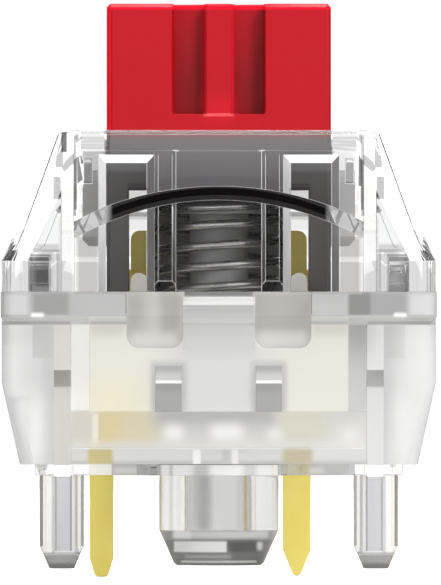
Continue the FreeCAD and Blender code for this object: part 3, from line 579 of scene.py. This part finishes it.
# the board side: post, pegs and the raised land between them
boardSide = dict(milkyPlastic, front=False, below=0.36)
boardSide["milk"] = [
    (None, 2.00, None, 0.45, 0.02, 0.80),
    (None, 1.97, -1.79, 0.00, 0.01, 0.20),
    (4.20, 6.00, None, 0.03, 0.02, 0.30),
    (None, -3.46, -0.03, 0.37, 0.02, 0.04, "one"),
    (4.40, None, -0.03, 0.37, 0.02, 0.04, "one"),
    (4.72, 5.28, -0.10, 0.37, 0.01, 0.80),
    (2.20, 4.20, None, 0.37, 0.02, 0.66),
]
# painted light and shade on the board side: light and dark bands on the post as a painted reflection, bright,
# dark and gold-tinted lines along the pegs, and painted shade on their lower ends
boardSide["walls"] = [
    (None, 1.97, None, 0.40, 0.01, (1.00, 1.00, 0.995)),
    (4.20, 7.00, None, 0.02, 0.01, (0.97, 0.97, 0.965)),
    (-2.10, -1.86, -1.78, 0.40, 0.05, (0.55, 0.55, 0.54), "one"),
    (-1.60, -1.48, -1.78, 0.40, 0.04, (0.72, 0.72, 0.71), "one"),
    (-0.84, -0.30, -1.78, 0.40, 0.18, (0.62, 0.62, 0.62), "one"),
    (0.80, 1.20, -1.78, 0.40, 0.14, (0.76, 0.76, 0.76), "one"),
    (1.70, 1.77, -1.78, 0.40, 0.03, (0.96, 0.91, 0.80), "one"),
    (1.90, 2.00, -1.78, 0.40, 0.03, (0.50, 0.50, 0.50)),
    (None, 2.20, None, -1.78, 0.015, (0.36, 0.36, 0.355)),
    (-1.50, 1.60, -2.04, -1.80, 0.08, (0.72, 0.72, 0.715), "one"),
    (-1.45, -0.90, -2.04, -1.80, 0.08, (1.00, 1.00, 1.00), "one"),
    (None, 1.90, None, -2.10, 0.04, (0.26, 0.26, 0.26)),
    (0.28, 1.30, -2.48, -2.12, 0.10, (0.15, 0.15, 0.15), "one"),
    (1.24, 1.40, -2.42, -2.16, 0.08, (0.85, 0.85, 0.85), "one"),
    (-1.45, 0.25, -2.48, -2.13, 0.04, (1.00, 1.00, 0.99), "one"),
    (-1.10, 0.40, -2.68, -2.58, 0.06, (0.44, 0.44, 0.44), "one"),
    (None, 1.22, -2.83, -2.76, 0.03, (0.85, 0.85, 0.84)),
    (None, 1.70, -2.96, -2.88, 0.01, (0.30, 0.30, 0.30)),
    (4.36, 4.46, -2.30, 0.38, 0.01, (0.22, 0.22, 0.23)),
    (5.68, 5.82, -2.30, 0.38, 0.01, (0.16, 0.16, 0.17)),
    (5.58, 5.63, -2.30, 0.38, 0.01, (0.93, 0.83, 0.68)),
    (4.58, 4.64, -2.30, 0.38, 0.01, (0.93, 0.80, 0.60)),
    (4.80, 5.25, -2.45, 0.00, 0.02, (0.66, 0.66, 0.68)),
    (4.75, 4.81, -2.45, 0.00, 0.01, (0.30, 0.30, 0.31)),
    (5.24, 5.30, -2.45, 0.00, 0.01, (0.34, 0.34, 0.35)),
    (4.36, 5.90, None, -2.50, 0.04, (0.40, 0.40, 0.40)),
    (4.50, 5.90, None, -2.84, 0.06, (0.20, 0.20, 0.20)),
    (1.97, 4.50, 0.02, 0.38, 0.01, (0.56, 0.56, 0.57)),
    (2.50, 3.40, 0.05, 0.25, 0.12, (0.74, 0.74, 0.74)),
    (2.00, 2.90, 0.02, 0.38, 0.10, (0.62, 0.58, 0.42), "one"),
    (None, -3.46, 0.00, 0.38, 0.01, (1.00, 1.00, 1.00), "one"),
    (4.40, None, 0.00, 0.38, 0.01, (1.00, 1.00, 1.00), "one"),
    (None, 1.95, 0.34, 0.40, 0.005, (0.20, 0.20, 0.20)),
]


def frontRows(tree, xyz, acrossX, colour, p):
    # the flange, the clips' outer faces, the slots beside them and the nubs have rows of their own, of
    # painted light and shade
    acrossY = mathNode(tree, "ABSOLUTE", xyz[1])
    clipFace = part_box("lower_housing")[1].y / mm - p["clipFace"]
    clip = ramp(tree, acrossY, *p["clipY"])
    nub = product(tree, (ramp(tree, acrossY, clipFace + p["nubY"][0], clipFace + p["nubY"][1]),
                         between(tree, acrossX, None, p["nubX"], 0.02), ramp(tree, xyz[2], *p["nubZ"])))
    slot = mathNode(tree, "MULTIPLY", between(tree, acrossY, *p["slotY"], 0.01),
                    ramp(tree, xyz[1], -0.1, 0.1, 1.0, 0.0))
    colour = patched(tree, xyz, acrossX, colour, p["flange"])
    colour = patched(tree, xyz, acrossX, colour, p["clip"], clip)
    colour = patched(tree, xyz, acrossX, colour, p["slot"], slot)
    return patched(tree, xyz, acrossX, colour, p["nub"], nub)


def makeMilkyPlastic(name, p):
    mat, tree = newMaterial(name)
    point, xyz = objectPoint(tree)
    ripple = noise(tree, point, *p["ripple"])
    haze = noise(tree, point, *p["haze"])
    cloud = noise(tree, point, *p["cloud"])
    acrossX = mathNode(tree, "ABSOLUTE", xyz[0])
    colour = mixColour(tree, ramp(tree, acrossX, *p["outerX"]), p["tint"], p["outer"])
    # painted light and shade: the walls rows, and on the front the rows of frontRows
    colour = patched(tree, xyz, acrossX, colour, p["walls"])
    if p["front"]:
        colour = frontRows(tree, xyz, acrossX, colour, p)
    colour = mixColour(tree, ramp(tree, cloud, 0.3, 0.8, 0.0, p["warmed"]), colour, p["warm"])
    edge = mathNode(tree, "MULTIPLY", ramp(tree, facing(tree), *p["edgeFacing"]),
                    ramp(tree, xyz[2], *p["edgeZ"]))
    colour = mixColour(tree, edge, colour, p["edgeTint"])
    # milk is the share of white light thrown back: clear = 1 - milk, roughness = frost * milk + haze
    milk = patchedValue(tree, xyz, acrossX, 0.0, p["milk"])
    rough = mathNode(tree, "MULTIPLY_ADD", ramp(tree, haze, 0.4, 0.75), p["hazed"],
                     mathNode(tree, "MULTIPLY", milk, p["frost"]))
    shader = addNode(tree, "ShaderNodeBsdfPrincipled", {
        "Base Color": colour,
        "IOR": p["ior"],
        "Transmission Weight": mathNode(tree, "SUBTRACT", 1.0, milk),
        "Roughness": rough,
        "Normal": bump(tree, ripple, p["relief"]),
    })
    output(tree, litThrough(tree, shader.outputs[0], p["shadow"]))
    return mat


springSteel = {
    "light": (0.40, 0.39, 0.38),
    "dark": (0.28, 0.275, 0.27),
    "metallic": 0.92,
    "roughness": (0.19, 0.34),
    "lines": (0.08, 3.0, 0.6, (0.05, 1.0, 1.0)),
    "cloud": (0.8, 3.0),
    "relief": 0.0008,
}


def makeSpringSteel(p):
    mat, tree = newMaterial("spring_steel")
    along = addNode(tree, "ShaderNodeUVMap", uv_map="along").outputs["UV"]
    # die lines: long in the wire's own direction, fine across it
    lines = noise(tree, along, *p["lines"])
    cloud = noise(tree, objectPoint(tree)[0], *p["cloud"])
    shader = addNode(tree, "ShaderNodeBsdfPrincipled", {
        "Base Color": mixColour(tree, ramp(tree, cloud, 0.3, 0.7), p["light"], p["dark"]),
        "Metallic": p["metallic"],
        "Roughness": ramp(tree, lines, 0.3, 0.7, *p["roughness"]),
        "Normal": bump(tree, lines, p["relief"]),
    })
    output(tree, shader.outputs[0])
    return mat


goldPlate = {
    "light": (1.00, 0.86, 0.22),
    "dark": (1.00, 0.80, 0.17),
    "metallic": 0.12,
    "roughness": (0.28, 0.41),
    "lines": (0.05, 3.0, 0.6, (1.0, 1.0, 0.06)),
    "cloud": (0.9, 3.0),
    "relief": 0.0012,
}


def makeGoldPlate(name, p):
    mat, tree = newMaterial(name)
    point = objectPoint(tree)[0]
    # rolled sheet: faint lines along its length, soft blotches of plating
    lines = noise(tree, point, *p["lines"])
    cloud = noise(tree, point, *p["cloud"])
    shader = addNode(tree, "ShaderNodeBsdfPrincipled", {
        "Base Color": mixColour(tree, ramp(tree, cloud, 0.35, 0.75), p["light"], p["dark"]),
        "Metallic": p["metallic"],
        "Roughness": ramp(tree, lines, 0.3, 0.7, *p["roughness"]),
        "Normal": bump(tree, lines, p["relief"]),
    })
    output(tree, shader.outputs[0])
    return mat


materials = {
    "stem_red": makeRedPlastic(redPlastic),
    "clear_cap": makeClearPlastic("clear_cap", clearPlastic),
    "clear_base": makeMilkyPlastic("clear_base", milkyPlastic),
    "spring_steel": makeSpringSteel(springSteel),
    "contact_metal": makeGoldPlate("contact_metal", goldPlate),
    "contact_point": makeGoldPlate("contact_point", dict(goldPlate, roughness=(0.13, 0.26), metallic=1.0)),
}
print("materials made:", len(materials))


# pieces

def newObject(name, data):
    obj = bpy.data.objects.new(name, data)
    bpy.context.scene.collection.objects.link(obj)
    return obj


def bodyOf(node):
    return next(name for name, members in frame["record"]["behaviour"]["bodies"].items() if node in members)


def slotOf(node):
    return next(row["material_slot"] for row in frame["record"]["subparts"] if row["node"] == node)


skinLook = {
    "join": 0.0004,
    "flatTilt": 0.6,
    "sharpTilt": 32,
    "segments": 2,
    "flatWeight": 100,
}


def dressed(node, edge, p):
    # a copy of the CAD piece with its points joined, flat regions merged and its sharp edges rounded
    mesh = frame["nodes"][node].data.copy()
    sharp = math.radians(p["sharpTilt"])
    mesh.materials.clear()
    work = bmesh.new()
    work.from_mesh(mesh)
    bmesh.ops.remove_doubles(work, verts=work.verts, dist=p["join"] * mm)
    flatTilt = math.radians(p["flatTilt"])
    bmesh.ops.dissolve_limit(work, angle_limit=flatTilt, verts=work.verts, edges=work.edges)
    work.to_mesh(mesh)
    work.free()
    mesh.name = node + "_skin"
    obj = newObject(node + "_skin", mesh)
    mesh.shade_smooth()
    mesh.set_sharp_from_angle(angle=sharp)
    rounded = obj.modifiers.new("edge", "BEVEL")
    rounded.width = edge * mm
    rounded.segments = p["segments"]
    rounded.limit_method = "ANGLE"
    rounded.angle_limit = sharp
    rounded.use_clamp_overlap = True
    # big flat faces keep their own normal, so that nothing behind them looks bent
    flat = obj.modifiers.new("flat", "WEIGHTED_NORMAL")
    flat.mode = "FACE_AREA"
    flat.weight = p["flatWeight"]
    flat.keep_sharp = True
    mesh.materials.append(materials[slotOf(node)])
    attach(obj, bodyOf(node))
    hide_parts(node)
    return obj


def faceTable(mesh):
    # centre and normal of each face, in millimetres
    count = len(mesh.polygons)
    centre = np.empty(count * 3)
    normal = np.empty(count * 3)
    mesh.polygons.foreach_get("center", centre)
    mesh.polygons.foreach_get("normal", normal)
    return centre.reshape(-1, 3) / mm, normal.reshape(-1, 3)


def paintBoardSide(obj, p):
    # faces below the body's underside, where the post, the pegs and the land between them are
    mesh = obj.data
    centre = faceTable(mesh)[0]
    mesh.materials.append(makeMilkyPlastic("clear_board_side", p))
    mesh.polygons.foreach_set("material_index", (centre[:, 2] < p["below"]).astype(np.int32))


# how far each piece's sharp edges are rounded, in millimetres
edges = {
    "lower_housing": 0.03,
    "upper_housing": 0.03,
    "stem": 0.03,
    "fixed_terminal": 0.02,
    "moving_terminal": 0.02,
    "contact_leaf": 0.012,
    "fixed_contact_bar": 0.012,
    "moving_contact_bar": 0.012,
}
skins = {node: dressed(node, edge, skinLook) for node, edge in edges.items()}
paintBoardSide(skins["lower_housing"], boardSide)
print("skins made:", len(skins))

capFaces = {
    "reveal": (2.00, 3.95, -4.36, -3.86),
    "arch": (4.70, 7.4, 9.6, -6.62, -4.58),
    "square": 0.97,
    "leftward": -0.5,
    "downward": -0.6,
    # painted shade for the recess slopes that face left
    "revealShadeTint": (0.15, 0.145, 0.145),
}


def paintCapFaces(obj, p):
    # white slopes round the recesses behind the cove as a painted highlight, those facing left painted grey
    # as shade, and the arch's ceiling painted black as shade where it is looked along
    mesh = obj.data
    centre, normal = faceTable(mesh)
    x = np.abs(centre[:, 0])
    y = centre[:, 1]
    z = centre[:, 2]
    x0, x1, y0, y1 = p["reveal"]
    slanted = np.abs(normal).max(axis=1) < p["square"]
    reveal = slanted & (x > x0) & (x < x1) & (y > y0) & (y < y1)
    halfX, z0, z1, y0, y1 = p["arch"]
    arch = (x < halfX) & (z > z0) & (z < z1) & (y > y0) & (y < y1) & (normal[:, 2] < p["downward"])
    index = np.zeros(len(mesh.polygons), np.int32)
    index[reveal] = 1
    index[arch] = 2
    index[reveal & (normal[:, 0] < p["leftward"])] = 3
    mesh.materials.append(makeRevealFace("reveal_painted_highlight", revealLight))
    mesh.materials.append(makeCeilingShade("ceiling_painted_shade", ceilingShade))
    mesh.materials.append(makeRevealFace("reveal_painted_shade", dict(revealLight, tint=p["revealShadeTint"], clear=0.0)))
    mesh.materials.append(makeEdgeLine("line_edge", edgeLine))
    mesh.polygons.foreach_set("material_index", index)
    # the rounded edges take the last material, the painted highlight and shade lines
    obj.modifiers["edge"].material = 4
    print("cap faces painted:", int((index == 1).sum()), "matt,", int((index > 1).sum()), "dark")


paintCapFaces(skins["upper_housing"], capFaces)

springLook = {
    "wire": 0.15,
    "coil": 1.90,
    "turns": 12,
    "around": 14,
    "perTurn": 72,
    "closed": 1.2,
    "closedPitch": 0.62,
    "travel": 3.6,
}


def sweepTube(centre, across, outward, radius, count):
    # ring point = centre + radius * (cos(a) * outward + sin(a) * across), for a once round the wire
    angle = (np.arange(count) * 2 * math.pi / count)[None, :, None]
    ring = np.cos(angle) * outward[:, None, :] + np.sin(angle) * across[:, None, :]
    return centre[:, None, :] + radius * ring


def makeSpring(p):
    low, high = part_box("return_spring")
    bottom = low.z / mm + p["wire"]
    top = high.z / mm - p["wire"]
    count = p["turns"] * p["perTurn"] + 1
    turn = np.linspace(0, p["turns"], count)
    # the height grows with the turn, slower over the closed end coils: z = bottom + length * share(turn)
    pitch = np.clip(np.minimum(turn, p["turns"] - turn) / p["closed"], 0, 1)
    pitch = p["closedPitch"] + (1 - p["closedPitch"]) * pitch * pitch * (3 - 2 * pitch)
    share = np.concatenate([[0.0], np.cumsum((pitch[1:] + pitch[:-1]) / 2)])
    share = share / share[-1]
    angle = turn * 2 * math.pi
    x = p["coil"] * np.cos(angle)
    y = p["coil"] * np.sin(angle)
    z = bottom + (top - bottom) * share
    centre = np.stack([x, y, z], axis=1)
    outward = np.stack([np.cos(angle), np.sin(angle), np.zeros(count)], axis=1)
    along = np.gradient(centre, axis=0)
    along /= np.linalg.norm(along, axis=1)[:, None]
    across = np.cross(along, outward)
    around = p["around"]
    rings = sweepTube(centre, across, outward, p["wire"], around)
    points = np.concatenate([rings.reshape(-1, 3), centre[:1], centre[-1:]]) * mm
    i, j = np.meshgrid(np.arange(count - 1), np.arange(around), indexing="ij")
    nextJ = (j + 1) % around
    quads = np.stack([i * around + j, i * around + nextJ, (i + 1) * around + nextJ, (i + 1) * around + j],
                     axis=-1).reshape(-1, 4)
    ring = np.arange(around)
    firstPole = count * around
    startCap = np.stack([np.full(around, firstPole), (ring + 1) % around, ring], axis=1)
    endCap = np.stack([np.full(around, firstPole + 1), (count - 1) * around + ring,
                       (count - 1) * around + (ring + 1) % around], axis=1)
    mesh = bpy.data.meshes.new("coil_spring")
    mesh.from_pydata(points.tolist(), [], quads.tolist() + startCap.tolist() + endCap.tolist())
    # UV: u is the length along the wire in millimetres, v is the distance round it
    length = np.concatenate([[0.0], np.cumsum(np.linalg.norm(np.diff(centre, axis=0), axis=1))])
    circumference = 2 * math.pi * p["wire"]
    u = np.stack([length[i], length[i], length[i + 1], length[i + 1]], axis=-1).reshape(-1)
    v = np.stack([j, j + 1, j + 1, j], axis=-1).reshape(-1) * circumference / around
    quadUv = np.stack([u, v], axis=1)
    capUv = np.zeros((6 * around, 2))
    layer = mesh.uv_layers.new(name="along")
    layer.data.foreach_set("uv", np.concatenate([quadUv, capUv]).astype(np.float32).ravel())
    mesh.shade_smooth()
    mesh.materials.append(materials["spring_steel"])
    obj = newObject("coil_spring", mesh)
    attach(obj, "housing")
    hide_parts("return_spring")
    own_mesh(obj)
    return obj


spring = makeSpring(springLook)
print("spring made:", len(spring.data.polygons), "faces")


# stage: floor, backdrop, light and camera

floorLook = {
    "half": 300,
    "gap": 0.01,
    "colour": (0.6, 0.6, 0.6),
    "glow": 0.86,
}

skyLook = {
    "white": 1.05,
    "dim": 0.36,
    "sideDark": (0.62, 0.88, 1.0, 0.60),
    "sideWhite": (0.95, 0.985, 0.0, 0.40),
    "topDark": (0.55, 0.75, 1.0, 0.45),
}

# place and target in millimetres, side of the square lamp in millimetres, power in watts
lamps = {
    "key": ((150, -200, 190), (0, 0, 8), 90, 0.60),
    "fill": ((-160, -250, 40), (0, 0, 6), 160, 0.22),
    "top": ((20, 10, 260), (0, 0, 6), 110, 0.55),
}

# level and far off, as the photo is nearly free of perspective; span is the picture's height
cameraLook = {
    "distance": 660.0,
    "span": 18.87,
    "front": -2.0,
    "x": 0.055,
    "height": 5.90,
    "sensor": 36.0,
    "clip": (0.05, 3.0),
}


def makeFloor(p):
    half = p["half"] * mm
    z = restLow[2] - p["gap"] * mm
    mesh = bpy.data.meshes.new("floor")
    corners = [(-half, -half, z), (half, -half, z), (half, half, z), (-half, half, z)]
    mesh.from_pydata(corners, [], [(0, 1, 2, 3)])
    mat, tree = newMaterial("floor_white")
    matt = addNode(tree, "ShaderNodeBsdfDiffuse", {"Color": p["colour"]})
    # the floor glows for the camera, also through clear plastic, so that the shadow on it stays pale
    path = addNode(tree, "ShaderNodeLightPath").outputs
    seen = mathNode(tree, "MAXIMUM", path["Is Camera Ray"], path["Is Transmission Ray"])
    glow = addNode(tree, "ShaderNodeEmission", {
        "Color": (1.0, 1.0, 1.0),
        "Strength": mathNode(tree, "MULTIPLY", seen, p["glow"]),
    })
    output(tree, addNode(tree, "ShaderNodeAddShader", {0: matt.outputs[0], 1: glow.outputs[0]}).outputs[0])
    mesh.materials.append(mat)
    obj = newObject("floor", mesh)


def makeWorld(p):
    world = bpy.data.worlds.new("studio")
    bpy.context.scene.world = world
    world.use_nodes = True
    tree = world.node_tree
    tree.nodes.clear()
    towards = addNode(tree, "ShaderNodeTexCoord").outputs["Generated"]
    xyz = addNode(tree, "ShaderNodeSeparateXYZ", {0: towards}).outputs
    # white in front and behind, darker overhead and to both sides, which draws the clear plastic's edges
    side = mathNode(tree, "ABSOLUTE", xyz[0])
    sideDark = ramp(tree, side, *p["sideDark"], smooth=True)
    sideWhite = ramp(tree, side, *p["sideWhite"], smooth=True)
    topDark = ramp(tree, xyz[2], *p["topDark"], smooth=True)
    dark = mathNode(tree, "MULTIPLY", mathNode(tree, "ADD", sideDark, sideWhite, clamp=True), topDark)
    # plain white for the camera, the pattern for mirrored and refracted rays, dim light for matt surfaces
    path = addNode(tree, "ShaderNodeLightPath").outputs
    mirrored = mathNode(tree, "MAXIMUM", path["Is Transmission Ray"], path["Is Glossy Ray"])
    pattern = mathNode(tree, "MULTIPLY", mathNode(tree, "SUBTRACT", dark, p["dim"]), mirrored)
    seen = mathNode(tree, "MULTIPLY", path["Is Camera Ray"], p["white"])
    strength = mathNode(tree, "MAXIMUM", mathNode(tree, "ADD", pattern, p["dim"]), seen)
    sky = addNode(tree, "ShaderNodeBackground", {"Color": (1.0, 1.0, 1.0), "Strength": strength})
    addNode(tree, "ShaderNodeOutputWorld", {"Surface": sky.outputs[0]})


def makeLamp(name, place, target, size, power):
    data = bpy.data.lights.new(name, "AREA")
    data.shape = "SQUARE"
    data.size = size * mm
    data.energy = power
    obj = newObject(name, data)
    obj.location = Vector(place) * mm
    away = Vector(target) * mm - obj.location
    obj.rotation_mode = "QUATERNION"
    obj.rotation_quaternion = away.to_track_quat("-Z", "Y")
    obj.visible_transmission = False


def makeCamera(p):
    data = bpy.data.cameras.new("camera")
    data.sensor_width = p["sensor"]
    data.lens = p["sensor"] * p["distance"] / p["span"]
    data.clip_start, data.clip_end = p["clip"]
    obj = newObject("camera", data)
    obj.location = Vector((p["x"], p["front"] - p["distance"], p["height"])) * mm
    obj.rotation_euler = (math.radians(90), 0, 0)
    bpy.context.scene.camera = obj


makeFloor(floorLook)
makeWorld(skyLook)
for name, row in lamps.items():
    makeLamp(name, *row)
makeCamera(cameraLook)

scene = bpy.context.scene
scene.view_settings.view_transform = "Standard"
scene.cycles.max_bounces = 24
scene.cycles.transmission_bounces = 24
scene.cycles.transparent_max_bounces = 32
scene.cycles.glossy_bounces = 6
scene.cycles.diffuse_bounces = 4
scene.cycles.caustics_reflective = False
scene.cycles.caustics_refractive = True
print("stage made")
